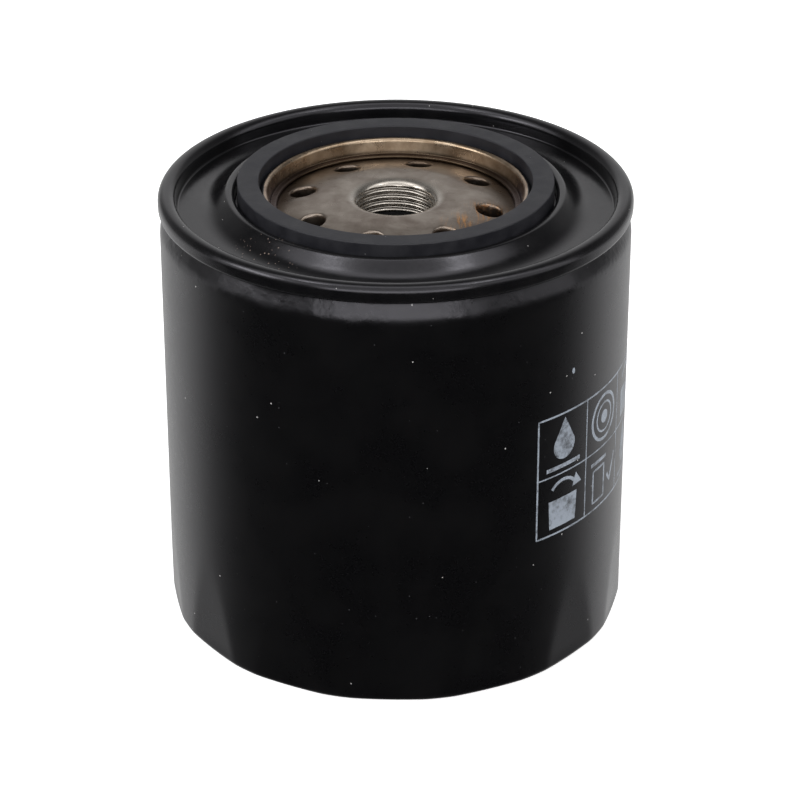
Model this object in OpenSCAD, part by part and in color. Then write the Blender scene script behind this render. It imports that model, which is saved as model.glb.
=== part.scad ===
// Spin-on oil filter for a small marine or industrial engine.
// Millimetres, +Z towards the threaded end, origin at the centre of the can's base.
// Radii are written from the filter's axis and levels from the base.

/* [Can] */
// Outside diameter of the can body
can_d = 107.4; // [107.2:0.1:107.6]
// Sheet thickness of the drawn can
can_t = 0.6; // [0.5:0.05:0.6]
// Outside radius of the corner between wall and base
can_corner_r = 1.7; // [1.2:0.1:4]
// Height that the centre of the base is pressed inwards
base_panel_h = 1.5; // [0.5:0.1:1.8]
// Radius of the pressed-in centre of the base
base_panel_r = 29; // [24:1:29]

/* [Wrench flats] */
// Number of wrench flats round the closed end
flat_count = 14; // [12:1:16]
// Depth of a flat at the base
flat_depth = 0.7; // [0.4:0.1:1.2]
// Level at which the drafted flats run out
flat_top_z = 22; // [16:1:28]
// Turn of the first flat from the -Y side, in degrees
flat_turn = -1.9; // [-12:0.1:12]

/* [Lid and seam] */
// Largest diameter, measured over the rolled seam
seam_d = 108; // [108:0.1:108.2]
// Level of the seam's crest
seam_top_z = 104.4; // [104.3:0.1:104.5]
// Sheet thickness of the seaming lid
lid_t = 0.8; // [0.7:0.05:0.8]

/* [Gasket] */
// Outside diameter of the gasket
gasket_od = 72; // [71.8:0.1:72.4]
// Inside diameter of the gasket
gasket_id = 62; // [62:0.1:62.4]
// Level of the gasket's sealing face
gasket_top_z = 106.3; // [105.5:0.1:107.5]

/* [Thread plate] */
// Minor diameter of the 3/4-16 UNF thread, a plain bore here
bore_d = 17.6; // [17.5:0.05:17.7]
// Thickness of the thread plate
plate_t = 3; // [2.6:0.1:3]
// Number of oil inlet holes
inlet_count = 8; // [6:1:10]
// Diameter of an inlet hole
inlet_d = 6; // [5:0.1:7]
// Diameter of the circle of inlet holes
inlet_pcd = 43.6; // [42:0.1:45]
// Turn of the first inlet hole from the -Y side, in degrees
inlet_turn = -13.9; // [-22:0.1:22]

/* [Filter element] */
// Number of pleats in the paper
pleat_count = 48; // [40:1:52]
// Thickness of the filter paper
paper_t = 0.6; // [0.4:0.05:0.6]
// Outside diameter of the pleats
pleat_od = 90; // [86:1:91]
// Rows of holes in the centre tube
tube_rows = 8; // [4:1:9]

/* [Springs] */
// Wire diameter of the spring under the element
element_wire = 2.4; // [2:0.1:2.5]
// Turns of the spring under the element
element_turns = 3.5; // [3:0.5:4]
// Wire diameter of the bypass spring
bypass_wire = 1.1; // [0.9:0.1:1.2]
// Turns of the bypass spring
bypass_turns = 6.5; // [5:0.5:7]

/* [Hidden] */
$fn = 96;

// Colours
paint_black = [0.06, 0.06, 0.065];
oily_steel = [0.62, 0.56, 0.48];
zinc_steel = [0.72, 0.72, 0.70];
rubber_black = [0.09, 0.09, 0.09];
paper_tan = [0.86, 0.74, 0.50];
glue_cream = [0.84, 0.80, 0.66];

// Degrees of arc that one straight stretch of a bend covers
bend_step = 15;
// Clearance between pieces that only rest on each other
seat_gap = 0.05;

// Can: body, shoulder and the level where the drawn cup meets the upper wall
can_r = can_d / 2;
cup_z = 30;
shoulder_z = 97.9;
neck_z = 99.8;
base_slope = 3;

// Double seam, layer by layer from the outside in
seam_r = seam_d / 2;
layer_gap = 0.05;
lid_wall_r = seam_r - lid_t / 2;
can_hook_r = seam_r - lid_t - layer_gap - can_t / 2;
lid_hook_r = can_hook_r - can_t / 2 - layer_gap - lid_t / 2;
can_neck_r = lid_hook_r - lid_t / 2 - layer_gap - can_t / 2;
chuck_r = 50.3;
seam_bottom_z = 100.2;
seam_corner = 1.2;
lid_roll = (lid_wall_r - lid_hook_r) / 2;
can_roll = (can_hook_r - can_neck_r) / 2;
can_roll_z = 102.3;
can_hook_end_z = 101.5;
lid_hook_end_z = 102.3;
sealant_t = 0.2;

// Lid: gasket groove between the inner ring and the conical ridge
plate_rim_z = 99.6;
lid_floor_z = plate_rim_z + lid_t / 2;
valley_z = 100.3 - lid_t / 2;
flange_r = 27.4;
ring_foot_r = 28.8;
ring_r = 29.5;
ring_fold = 0.5;
ring_top_z = 103.85;
lip_r = 37.0;
lip_top_z = 103.9;
ridge_top_r = 38.3;
ridge_foot_r = 42.3;

// Thread plate: crown, cone and neck
bore_r = bore_d / 2;
crown_z = 101.8;
crown_r = 17;
cone_r = 27.35;
roll_w = 2.7;
roll_h = 1.5;
neck_bottom_z = 94.3;
neck_r = 11.6;
plate_r = 41;
plate_drop = plate_t + 0.07;

// Anti-drain valve
collar_r = 17;
flap_in_r = collar_r + 0.15;
flap_r = 30;
flap_t = 1.1;
flap_gap = 0.12;
flap_lip_z = plate_rim_z - plate_t - flap_gap;

// Element: cap levels, from the bottom cap's underside to the top cap's face
bottom_cap_z = 13;
top_cap_z = 88;
cap_t = 0.8;
cap_r = 47.2;
skirt_h = 4.5;
potting_t = 2.6;
neck_in_r = 13;
cap_neck_top_z = 91.5;
cap_hole_r = 13.2;
tube_r = 17.7;
tube_t = 0.8;
pleat_in_r = 18.6;
pleat_gap = 0.45;
clip_w = 2.6;
clip_l = 6;
clip_t = 0.4;
media_low = bottom_cap_z + cap_t + potting_t;
media_high = top_cap_z - cap_t - potting_t;

// Bypass valve
seat_z = bottom_cap_z + cap_t + 1.2;
seat_hole_r = 8;
seat_r = 15.6;
seal_t = 1.5;
disc_r = 10.6;
disc_t = 1;
stem_r = 2;
stem_clearance = 0.08;
stem_top_z = 36;
cage_r = 13.4;
cage_t = 0.8;
cage_top_z = 34;
bypass_coil_r = 7;
seal_z = seat_z + seat_gap;
disc_z = seal_z + seal_t;
disc_top_z = disc_z + disc_t;

// Sheet and arc geometry -------------------------------------------------

function unit(v) = v / norm(v);
function left(v) = [-v[1], v[0]];
function turned(v, a) = [v[0] * cos(a) - v[1] * sin(a), v[0] * sin(a) + v[1] * cos(a)];
function flat_list(lists) = [for (l = lists) for (e = l) e];
function reversed(l) = [for (i = [len(l) - 1:-1:0]) l[i]];
function xy(p) = [p[0], p[1]];

// Points of an arc, from angle a to angle b about centre c
function arc(c, r, a, b) =
    let (n = max(1, ceil(abs(b - a) / bend_step)))
    [for (i = [0:n]) c + r * [cos(a + (b - a) * i / n), sin(a + (b - a) * i / n)]];

// Rounded corner b between a and c with bend radius r, as [point, left normal] pairs
function bend(a, b, c, r) =
    let (
        u = unit(b - a),
        w = unit(c - b),
        angle = atan2(u[0] * w[1] - u[1] * w[0], u * w),
        side = sign(angle),
        start = b - u * r * tan(abs(angle) / 2),
        centre = start + side * r * left(u),
        n = max(1, ceil(abs(angle) / bend_step))
    )
    [for (i = [0:n])
        let (normal = turned(left(u), angle * i / n))
        [centre - side * r * normal, normal]];

// Centre line of a bent sheet: each vertex is [r, z, bend radius]
function bent(path) =
    let (last = len(path) - 1)
    concat(
        [[xy(path[0]), left(unit(xy(path[1]) - xy(path[0])))]],
        flat_list([for (i = [1:last - 1])
            bend(xy(path[i - 1]), xy(path[i]), xy(path[i + 1]), path[i][2])]),
        [[xy(path[last]), left(unit(xy(path[last]) - xy(path[last - 1])))]]
    );

// Cross-section of a sheet of thickness t along a bent centre line
module sheet_section(path, t) {
    line = bent(path);
    polygon(concat(
        [for (p = line) p[0] + p[1] * t / 2],
        reversed([for (p = line) p[0] - p[1] * t / 2])
    ));
}

module turned_sheet(path, t) {
    rotate_extrude() sheet_section(path, t);
}

// Plain ring between two radii and two levels
module ring(r_in, r_out, z_low, z_high) {
    rotate_extrude()
        translate([r_in, z_low])
            square([r_out - r_in, z_high - z_low]);
}

// Copies of the children at equal turns round the axis
module round_pattern(count, first = 0) {
    for (i = [0:count - 1])
        rotate([0, 0, first + 360 * i / count])
            children();
}

// Coil spring: rings of wire along a helix whose radius and level follow functions of 0 to 1
function coil_point(t, turns, r_low, r_high, z_low, z_high, dead) =
    let (
        rise = min(1, max(0, (t * turns - dead) / (turns - 2 * dead))),
        r = r_low + (r_high - r_low) * t
    )
    [r, z_low + (z_high - z_low) * rise, 360 * turns * t];

module coil(turns, wire, r_low, r_high, z_low, z_high, dead, steps, sides) {
    rings = ceil(turns * steps);
    points = [for (i = [0:rings]) for (j = [0:sides - 1])
        let (
            c = coil_point(i / rings, turns, r_low, r_high, z_low, z_high, dead),
            a = 360 * j / sides,
            r = c[0] + wire / 2 * cos(a)
        )
        [r * cos(c[2]), r * sin(c[2]), c[1] + wire / 2 * sin(a)]];
    walls = [for (i = [0:rings - 1]) for (j = [0:sides - 1])
        let (k = (j + 1) % sides)
        [i * sides + j, i * sides + k, (i + 1) * sides + k, (i + 1) * sides + j]];
    first = [[for (j = [sides - 1:-1:0]) j]];
    last = [[for (j = [0:sides - 1]) rings * sides + j]];
    polyhedron(points, concat(walls, first, last));
}

// Can --------------------------------------------------------------------

// Block outside one drafted wrench flat on the -Y side, for a wall of radius r
module flat_block(r) {
    draft = atan(flat_depth / flat_top_z);
    translate([0, -r, flat_top_z])
        rotate([draft, 0, 0])
            translate([-20, -10, -2 * flat_top_z])
                cube([40, 10, 3 * flat_top_z]);
}

// Solid cup with wrench flats: inset is its distance inside the can's outer face
module cup(inset) {
    r = can_r - inset;
    corner = can_corner_r - inset;
    panel_r = base_panel_r - inset * 0.4;
    panel_z = inset + base_panel_h;
    difference() {
        rotate_extrude()
            polygon(concat(
                [[0, panel_z], [panel_r, panel_z], [panel_r + base_slope, inset]],
                arc([r - corner, inset + corner], corner, -90, 0),
                [[r, cup_z], [0, cup_z]]
            ));
        round_pattern(flat_count, flat_turn)
            flat_block(r);
    }
}

// Drawn steel can: cup with flats, plain wall, shoulder and the hook of the double seam
module can() {
    wall_r = can_r - can_t / 2;
    color(paint_black)
        union() {
            difference() {
                cup(0);
                cup(can_t);
            }
            turned_sheet([
                [wall_r, cup_z],
                [wall_r, shoulder_z, 3],
                [can_neck_r, neck_z, 0.8],
                [can_neck_r, can_roll_z + can_roll, can_roll],
                [can_hook_r, can_roll_z + can_roll, can_roll],
                [can_hook_r, can_hook_end_z]
            ], can_t);
        }
}

// Lid and head -----------------------------------------------------------

// Seaming lid: flange, inner ring, gasket groove, conical ridge, valley and seam roll
module seaming_lid() {
    crest_z = seam_top_z - lid_t / 2;
    color(paint_black)
        turned_sheet([
            [flange_r, lid_floor_z],
            [ring_foot_r, lid_floor_z, 0.6],
            [ring_r, ring_top_z - lid_t / 2, ring_fold],
            [ring_r + 2 * ring_fold, ring_top_z - lid_t / 2, ring_fold],
            [ring_r + 2 * ring_fold, lid_floor_z, 0.6],
            [lip_r, lid_floor_z, 0.6],
            [lip_r, lip_top_z - lid_t / 2, 0.6],
            [ridge_top_r, lip_top_z - lid_t / 2, 0.6],
            [ridge_foot_r, valley_z, 2.2],
            [chuck_r - 0.2, valley_z, 0.9],
            [chuck_r, crest_z, seam_corner],
            [lid_wall_r, crest_z, seam_corner],
            [lid_wall_r, seam_bottom_z + lid_t / 2, lid_roll],
            [lid_hook_r, seam_bottom_z + lid_t / 2, lid_roll],
            [lid_hook_r, lid_hook_end_z]
        ], lid_t);
}

// Cured sealing compound between the lid's roll and the can's hook
module seam_sealant() {
    inner = can_roll + can_t / 2;
    outer = inner + sealant_t;
    centre = [lid_hook_r, can_roll_z];
    color(glue_cream)
        rotate_extrude()
            polygon(concat(
                [[centre[0] - outer, can_roll_z - 1.2]],
                arc(centre, outer, 180, 45),
                arc(centre, inner, 45, 180),
                [[centre[0] - inner, can_roll_z - 1.2]]
            ));
}

// Thread plate: thick steel disc with the extruded threaded neck and the inlet holes
module thread_plate() {
    roll = [for (a = [0:bend_step:90])
        [bore_r + roll_w * (1 - cos(a)), crown_z - roll_h * (1 - sin(a))]];
    color(oily_steel)
        difference() {
            rotate_extrude()
                polygon(concat(
                    [[bore_r, neck_bottom_z]],
                    roll,
                    [
                        [crown_r, crown_z],
                        [cone_r, plate_rim_z],
                        [plate_r, plate_rim_z],
                        [plate_r, plate_rim_z - plate_t],
                        [cone_r - 0.3, plate_rim_z - plate_t],
                        [crown_r - 0.3, crown_z - plate_drop]
                    ],
                    reversed(arc([neck_r + 1, crown_z - plate_drop - 1], 1, 180, 90)),
                    [[neck_r, neck_bottom_z]]
                ));
            round_pattern(inlet_count, inlet_turn)
                translate([0, -inlet_pcd / 2, neck_bottom_z])
                    cylinder(d = inlet_d, h = 10);
        }
}

// Moulded rubber gasket, standing proud of the seam
module gasket() {
    edge = 0.35;
    low = plate_rim_z + lid_t + seat_gap;
    color(rubber_black)
        rotate_extrude()
            translate([gasket_id / 2 + seat_gap, low])
                polygon(concat(
                    arc([edge, edge], edge, 180, 270),
                    arc([(gasket_od - gasket_id) / 2 - edge, edge], edge, 270, 360),
                    arc([(gasket_od - gasket_id) / 2 - edge, gasket_top_z - low - edge], edge, 0, 90),
                    arc([edge, gasket_top_z - low - edge], edge, 90, 180)
                ));
}

// Anti-drain valve ---------------------------------------------------------

// Collar of the rubber valve, clamped between the plate's neck and the element
module anti_drain_collar() {
    color(rubber_black)
        rotate_extrude()
            polygon([
                [neck_in_r + cap_t + 0.1, top_cap_z + seat_gap],
                [collar_r, top_cap_z + seat_gap],
                [collar_r, neck_bottom_z - 1.2],
                [collar_r - 1, neck_bottom_z - seat_gap],
                [bore_r + 0.9, neck_bottom_z - seat_gap],
                [bore_r + 0.9, cap_neck_top_z + 0.1],
                [neck_in_r + cap_t + 0.1, cap_neck_top_z + 0.1]
            ]);
}

// Flap of the same moulding, which seals the inlet holes from below
module anti_drain_flap() {
    root_z = neck_bottom_z - 2.2;
    lip_w = 1.6;
    color(rubber_black)
        rotate_extrude()
            polygon([
                [flap_in_r, root_z - flap_t],
                [flap_in_r + 1, root_z - flap_t],
                [flap_r - lip_w, flap_lip_z - flap_t - 0.6],
                [flap_r, flap_lip_z - flap_t + 0.2],
                [flap_r, flap_lip_z],
                [flap_r - lip_w, flap_lip_z],
                [flap_r - lip_w - 1.2, flap_lip_z - 0.9],
                [flap_in_r, root_z]
            ]);
}

// Filter element -----------------------------------------------------------

// Stamped steel cap over the element's upper end, with the neck that holds the collar
module top_end_cap() {
    mid_z = top_cap_z - cap_t / 2;
    skirt_r = cap_r - cap_t / 2;
    color(zinc_steel)
        turned_sheet([
            [neck_in_r + cap_t / 2, cap_neck_top_z],
            [neck_in_r + cap_t / 2, mid_z, 0.45],
            [skirt_r, mid_z, 0.45],
            [skirt_r, top_cap_z - skirt_h]
        ], cap_t);
}

// Stamped steel cap under the element, open in the middle for the bypass valve
module bottom_end_cap() {
    mid_z = bottom_cap_z + cap_t / 2;
    skirt_r = cap_r - cap_t / 2;
    color(zinc_steel)
        turned_sheet([
            [cap_hole_r, mid_z],
            [skirt_r, mid_z, 0.45],
            [skirt_r, bottom_cap_z + skirt_h]
        ], cap_t);
}

// Cured adhesive that bonds the pleats to a cap
module potting(z_low) {
    color(glue_cream)
        ring(tube_r + seat_gap, cap_r - cap_t - 0.1, z_low, z_low + potting_t);
}

module top_potting() {
    potting(media_high);
}

module bottom_potting() {
    potting(media_low - potting_t);
}

// Closed zigzag of the folded paper, moved outwards across the paper by d
function pleat_outline(d) =
    let (
        step = 360 / pleat_count,
        half_out = pleat_gap / (pleat_od / 2) * 180 / PI,
        half_in = pleat_gap / pleat_in_r * 180 / PI,
        across_out = d / (pleat_od / 2) * 180 / PI,
        across_in = d / pleat_in_r * 180 / PI
    )
    flat_list([for (i = [0:pleat_count - 1])
        let (
            r_out = pleat_od / 2 + d,
            r_in = pleat_in_r + d,
            a = step * i,
            b = step * (i + 0.5)
        )
        [
            r_out * [cos(a - half_out - across_out), sin(a - half_out - across_out)],
            r_out * [cos(a + half_out + across_out), sin(a + half_out + across_out)],
            r_in * [cos(b - half_in + across_in), sin(b - half_in + across_in)],
            r_in * [cos(b + half_in - across_in), sin(b + half_in - across_in)]
        ]]);

// Box that the media clip takes up at the outer edge of one pleat
module clip_space(margin) {
    height = media_high - media_low;
    translate([pleat_od / 2 + 0.9 - clip_l, -clip_w / 2, media_low])
        translate([-margin, -margin, 0])
            cube([clip_l + margin, clip_w + 2 * margin, height]);
}

// Pleated filter paper
module pleated_media() {
    color(paper_tan)
        difference() {
            translate([0, 0, media_low])
                linear_extrude(media_high - media_low)
                    difference() {
                        polygon(pleat_outline(paper_t / 2));
                        polygon(pleat_outline(-paper_t / 2));
                    }
            clip_space(0.1);
        }
}

// Folded steel strip that joins the two ends of the paper
module media_clip() {
    height = media_high - media_low;
    color(zinc_steel)
        difference() {
            clip_space(0);
            translate([pleat_od / 2 + 0.9 - clip_l - 1, clip_t - clip_w / 2, media_low - 1])
                cube([clip_l + 1 - clip_t, clip_w - 2 * clip_t, height + 2]);
        }
}

// Perforated steel tube that carries the element
module centre_tube() {
    low = bottom_cap_z + cap_t + seat_gap;
    high = top_cap_z - cap_t - seat_gap;
    pitch = (high - low) / (tube_rows + 1);
    color(zinc_steel)
        difference() {
            ring(tube_r - tube_t, tube_r, low, high);
            for (row = [1:tube_rows])
                for (turn = [0:60:120])
                    translate([0, 0, low + pitch * row])
                        rotate([90, 0, turn + 30 * (row % 2)])
                            cylinder(d = 5, h = 3 * tube_r, center = true);
        }
}

// Bypass valve -------------------------------------------------------------

// Seat ring pressed into the bottom cap
module bypass_seat() {
    color(zinc_steel)
        rotate_extrude()
            polygon([
                [seat_hole_r, seat_z],
                [seat_r, seat_z],
                [seat_r, bottom_cap_z + cap_t],
                [cap_hole_r - seat_gap, bottom_cap_z + cap_t],
                [cap_hole_r - seat_gap, bottom_cap_z - 0.8],
                [cap_hole_r - 1, bottom_cap_z - 0.8],
                [cap_hole_r - 1, bottom_cap_z + cap_t],
                [seat_hole_r, bottom_cap_z + cap_t]
            ]);
}

// Rubber washer under the disc
module bypass_seal() {
    color(rubber_black)
        ring(stem_r, disc_r - 0.4, seal_z, disc_z);
}

// Steel disc with a turned-up rim that centres the spring
module bypass_disc() {
    color(zinc_steel)
        difference() {
            ring(stem_r, disc_r, disc_z, disc_top_z + 0.8);
            ring(0, disc_r - 1, disc_top_z, disc_top_z + 1);
        }
}

// Guide pin riveted through the seal and the disc
module bypass_stem() {
    head_h = 0.9;
    color(zinc_steel)
        rotate_extrude()
            polygon([
                [0, seal_z - head_h],
                [2 * stem_r, seal_z - head_h],
                [2 * stem_r, seal_z],
                [stem_r, seal_z],
                [stem_r, stem_top_z - 0.6],
                [stem_r - 0.6, stem_top_z],
                [0, stem_top_z]
            ]);
}

// Coil spring that holds the disc on its seat
module bypass_spring() {
    color(zinc_steel)
        coil(
            bypass_turns, bypass_wire, bypass_coil_r, bypass_coil_r,
            disc_top_z + seat_gap + bypass_wire / 2,
            cage_top_z - cage_t - seat_gap - bypass_wire / 2,
            0, 14, 6
        );
}

// Stamped cage with four legs, which guides the stem and holds the spring
module bypass_cage() {
    window_h = 12;
    color(zinc_steel)
        difference() {
            union() {
                ring(cage_r - cage_t, cage_r, seat_z, cage_top_z);
                ring(cage_r - cage_t, seat_r, seat_z, seat_z + cage_t);
                ring(stem_r + stem_clearance, cage_r, cage_top_z - cage_t, cage_top_z);
            }
            for (turn = [0, 90])
                rotate([0, 0, turn])
                    translate([-6.5, -20, seat_z + 2.5])
                        cube([13, 40, window_h]);
        }
}

// Conical coil spring that pushes the element against the head
module element_spring() {
    color(zinc_steel)
        coil(
            element_turns, element_wire, 35, 25,
            can_t + seat_gap + element_wire / 2,
            bottom_cap_z - seat_gap - element_wire / 2,
            0.6, 20, 8
        );
}

can();
seaming_lid();
seam_sealant();
thread_plate();
gasket();
anti_drain_collar();
anti_drain_flap();
top_end_cap();
top_potting();
pleated_media();
media_clip();
centre_tube();
bottom_potting();
bottom_end_cap();
bypass_seat();
bypass_seal();
bypass_disc();
bypass_stem();
bypass_spring();
bypass_cage();
element_spring();
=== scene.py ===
"""Looks of a spin-on oil filter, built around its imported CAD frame.

Lengths in this file are millimetres until a mesh is made. Angles round the filter are measured
from the -Y side, which the camera faces, towards +X.
"""

import math

import bmesh
import bpy
import numpy as np
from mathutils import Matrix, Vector


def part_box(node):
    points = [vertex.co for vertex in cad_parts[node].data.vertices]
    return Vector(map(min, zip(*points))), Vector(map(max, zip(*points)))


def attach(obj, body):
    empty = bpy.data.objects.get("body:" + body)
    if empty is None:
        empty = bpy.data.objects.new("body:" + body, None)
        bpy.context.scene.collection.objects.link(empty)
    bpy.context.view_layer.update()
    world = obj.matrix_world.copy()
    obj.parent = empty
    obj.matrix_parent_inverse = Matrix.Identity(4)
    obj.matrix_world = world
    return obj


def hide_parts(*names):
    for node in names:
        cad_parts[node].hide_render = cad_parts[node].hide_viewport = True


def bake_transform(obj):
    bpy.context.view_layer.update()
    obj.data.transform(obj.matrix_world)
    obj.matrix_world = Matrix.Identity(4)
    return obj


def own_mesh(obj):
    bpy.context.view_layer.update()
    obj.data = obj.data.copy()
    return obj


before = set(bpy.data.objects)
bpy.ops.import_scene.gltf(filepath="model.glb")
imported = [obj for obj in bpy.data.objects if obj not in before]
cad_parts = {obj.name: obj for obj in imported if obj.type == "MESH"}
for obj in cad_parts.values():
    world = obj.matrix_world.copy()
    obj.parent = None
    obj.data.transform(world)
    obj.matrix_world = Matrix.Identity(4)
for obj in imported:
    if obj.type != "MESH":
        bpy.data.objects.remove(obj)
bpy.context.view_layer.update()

MM = 0.001
TAU = 2 * math.pi
ARC_STEP = math.radians(8)
SHARP = math.radians(50)
PUNCHED_SHARP = math.radians(55)

# ---------------------------------------------------------------- sizes, in millimetres

CAN_R = 53.7
CAN_T = 0.6
CAN_CORNER = 1.7
DISH_H = 1.5
DISH_R = 29.0
DISH_BEND = 1.6
FLATS = 14
FLAT_DEPTH = 0.7
FLAT_TOP = 22.0
FLAT_TURN = math.radians(-1.9)
FLAT_ROUNDING = 0.06
SHOULDER_Z = 96.0
SHOULDER_BEND = 5.0
NECK_Z = 99.8
CAN_ROLL_Z = 102.3
CAN_HOOK_END = 101.5

SEAM_R = 54.0
SEAM_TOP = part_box("seaming_lid")[1].z / MM
SEAM_BOTTOM = 100.2
LID_T = 0.8
LID_WALL_R = SEAM_R - LID_T / 2
CAN_HOOK_R = SEAM_R - LID_T - 0.05 - CAN_T / 2
LID_HOOK_R = CAN_HOOK_R - CAN_T / 2 - 0.05 - LID_T / 2
CAN_NECK_R = LID_HOOK_R - LID_T / 2 - 0.05 - CAN_T / 2
CHUCK_R = 50.3
CREST_BEND = 1.6
CAN_ROLL = (CAN_HOOK_R - CAN_NECK_R) / 2
LID_ROLL = (LID_WALL_R - LID_HOOK_R) / 2

PLATE_RIM_Z = 99.6
PLATE_T = 3.0
RING_R = 29.5
RING_TOP = 103.85
LIP_R = 37.0
LIP_TOP = 103.9
LIP_OUT_R = 38.3
RIDGE_FOOT_R = 42.3
RIDGE_FOOT_BEND = 6.0
VALLEY_Z = 99.9
FLANGE_IN_R = 27.4
RING_FOOT_R = 28.8
LID_HOOK_END = 102.3
PAINT_EDGE_R = 29.95

GASKET_IN = 31.05
GASKET_OUT = 36.0
GASKET_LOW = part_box("gasket")[0].z / MM
GASKET_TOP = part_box("gasket")[1].z / MM

BORE_R = 8.8
THREAD_ROOT_R = 9.42
THREAD_PITCH = 25.4 / 16
CROWN_Z = 101.8
CROWN_R = 17.0
CONE_R = 27.35
CONE_SLOPE = (CROWN_Z - PLATE_RIM_Z) / (CONE_R - CROWN_R)
ROLL_W = 2.7
ROLL_H = 1.5
NECK_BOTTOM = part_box("thread_plate")[0].z / MM
NECK_R = 11.6
PLATE_R = 41.0
INLETS = 8
INLET_R = 3.0
INLET_CIRCLE_R = 21.8
INLET_TURN = math.radians(-13.9)

COLLAR_R = 17.0
FLAP_T = 1.1
FLAP_ROOT = 92.1
FLAP_LIP = PLATE_RIM_Z - PLATE_T - 0.12

CAP_TOP = 88.0
CAP_T = 0.8
CAP_NECK_R = 13.0
CAP_NECK_TOP = 91.5
MEDIA_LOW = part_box("pleated_media")[0].z / MM
MEDIA_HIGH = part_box("pleated_media")[1].z / MM
PLEATS = 48
PLEAT_OUT = 45.0
PLEAT_IN = 18.6
PAPER_T = 0.6
FOLD_OUT_R = 0.95
FOLD_IN_R = 0.80

INK_LIFT = 0.015
INK_ROOT = -0.05
PANEL_LEFT = math.radians(36) * CAN_R
PANEL_CELL = math.radians(17) * CAN_R
PANEL_LOW = 36.5
PANEL_HIGH = 66.5
PANEL_CELLS = 4

FLOOR_Z = -0.12
FLOOR_R = 6000.0

# ---------------------------------------------------------------- outlines


def unit(v):
    return v / np.linalg.norm(v)


def left(v):
    return np.array([-v[1], v[0]])


def turned(v, angle):
    c, s = math.cos(angle), math.sin(angle)
    return np.array([v[0] * c - v[1] * s, v[0] * s + v[1] * c])


def rounded_corner(a, b, c, radius):
    """Points and left normals of a line from a to c that turns at b with a bend radius."""
    u, w = unit(b - a), unit(c - b)
    angle = math.atan2(u[0] * w[1] - u[1] * w[0], u @ w)
    side = math.copysign(1, angle)
    start = b - u * radius * math.tan(abs(angle) / 2)
    centre = start + side * radius * left(u)
    count = max(2, math.ceil(abs(angle) / ARC_STEP))
    found = []
    for i in range(count + 1):
        normal = turned(left(u), angle * i / count)
        found.append((centre - side * radius * normal, normal))
    return found


def round_end(point, normal, half):
    """Half circle from the left face of a sheet to its right face, past the sheet's end."""
    return [point + half * turned(normal, -math.radians(a)) for a in range(20, 180, 20)]


def sheet_outline(path, thickness, from_axis=False):
    """Outline of a bent sheet: path holds (r, z) ends and (r, z, bend radius) corners."""
    points = [np.array(p[:2], float) for p in path]
    line = [(points[0], left(unit(points[1] - points[0])))]
    for i in range(1, len(path) - 1):
        line += rounded_corner(points[i - 1], points[i], points[i + 1], path[i][2])
    line.append((points[-1], left(unit(points[-1] - points[-2]))))
    half = thickness / 2
    outline = [p + n * half for p, n in line]
    outline += round_end(*line[-1], half)
    outline += [p - n * half for p, n in reversed(line)]
    if not from_axis:
        outline += round_end(line[0][0], -line[0][1], half)
    return outline


def rounded_outline(path):
    """Closed outline with a radius at each corner: path holds (r, z, radius)."""
    points = [np.array(p[:2], float) for p in path]
    outline = []
    for i, corner in enumerate(path):
        before, after = points[i - 1], points[(i + 1) % len(path)]
        if corner[2]:
            outline += [p for p, _ in rounded_corner(before, points[i], after, corner[2])]
        else:
            outline.append(points[i])
    return outline


def divided(outline, longest, closed=True):
    """The same outline with no stretch longer than the given length."""
    found = []
    count = len(outline) if closed else len(outline) - 1
    for i in range(count):
        a, b = outline[i], outline[(i + 1) % len(outline)]
        parts = max(1, math.ceil(np.linalg.norm(b - a) / longest))
        found += [a + (b - a) * k / parts for k in range(parts)]
    if not closed:
        found.append(outline[-1])
    return found


# ---------------------------------------------------------------- meshes


def make_mesh(name, points, faces):
    """Object from points in millimetres, smooth shaded apart from its sharp edges."""
    mesh = bpy.data.meshes.new(name)
    mesh.from_pydata((np.asarray(points) * MM).tolist(), [], faces)
    work = bmesh.new()
    work.from_mesh(mesh)
    bmesh.ops.recalc_face_normals(work, faces=work.faces)
    work.to_mesh(mesh)
    work.free()
    mesh.shade_smooth()
    mesh.set_sharp_from_angle(angle=SHARP)
    piece = bpy.data.objects.new(name, mesh)
    bpy.context.scene.collection.objects.link(piece)
    return piece


def grid_faces(rows, columns, first=0, close_rows=False):
    """Quads of a grid of points whose columns run once round and close."""
    faces = []
    for i in range(rows if close_rows else rows - 1):
        a, b = first + i * columns, first + ((i + 1) % rows) * columns
        for j in range(columns):
            k = (j + 1) % columns
            faces.append((a + j, a + k, b + k, b + j))
    return faces


def revolve(name, outline, segments, shape=None, closed=True):
    """Turns an outline round the axis. shape changes the grids of radius and level by angle.

    An open outline starts and ends on the axis and gets a point there.
    """
    profile = np.array(outline, float)
    if not closed:
        poles = profile[[0, -1]]
        profile = profile[1:-1]
    theta = np.arange(segments) * TAU / segments
    r = np.repeat(profile[:, :1], segments, 1)
    z = np.repeat(profile[:, 1:], segments, 1)
    angles = np.repeat(theta[None, :], len(profile), 0)
    if shape:
        r, z = shape(r, z, angles)
    points = np.stack([r * np.sin(angles), -r * np.cos(angles), z], -1).reshape(-1, 3)
    faces = grid_faces(len(profile), segments, close_rows=closed)
    if not closed:
        first, last = len(points), len(points) + 1
        points = np.vstack([points, [[0, 0, poles[0][1]], [0, 0, poles[1][1]]]])
        end = (len(profile) - 1) * segments
        for j in range(segments):
            k = (j + 1) % segments
            faces.append((first, k, j))
            faces.append((last, end + j, end + k))
    return make_mesh(name, points, faces)


WAVES = 9


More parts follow.
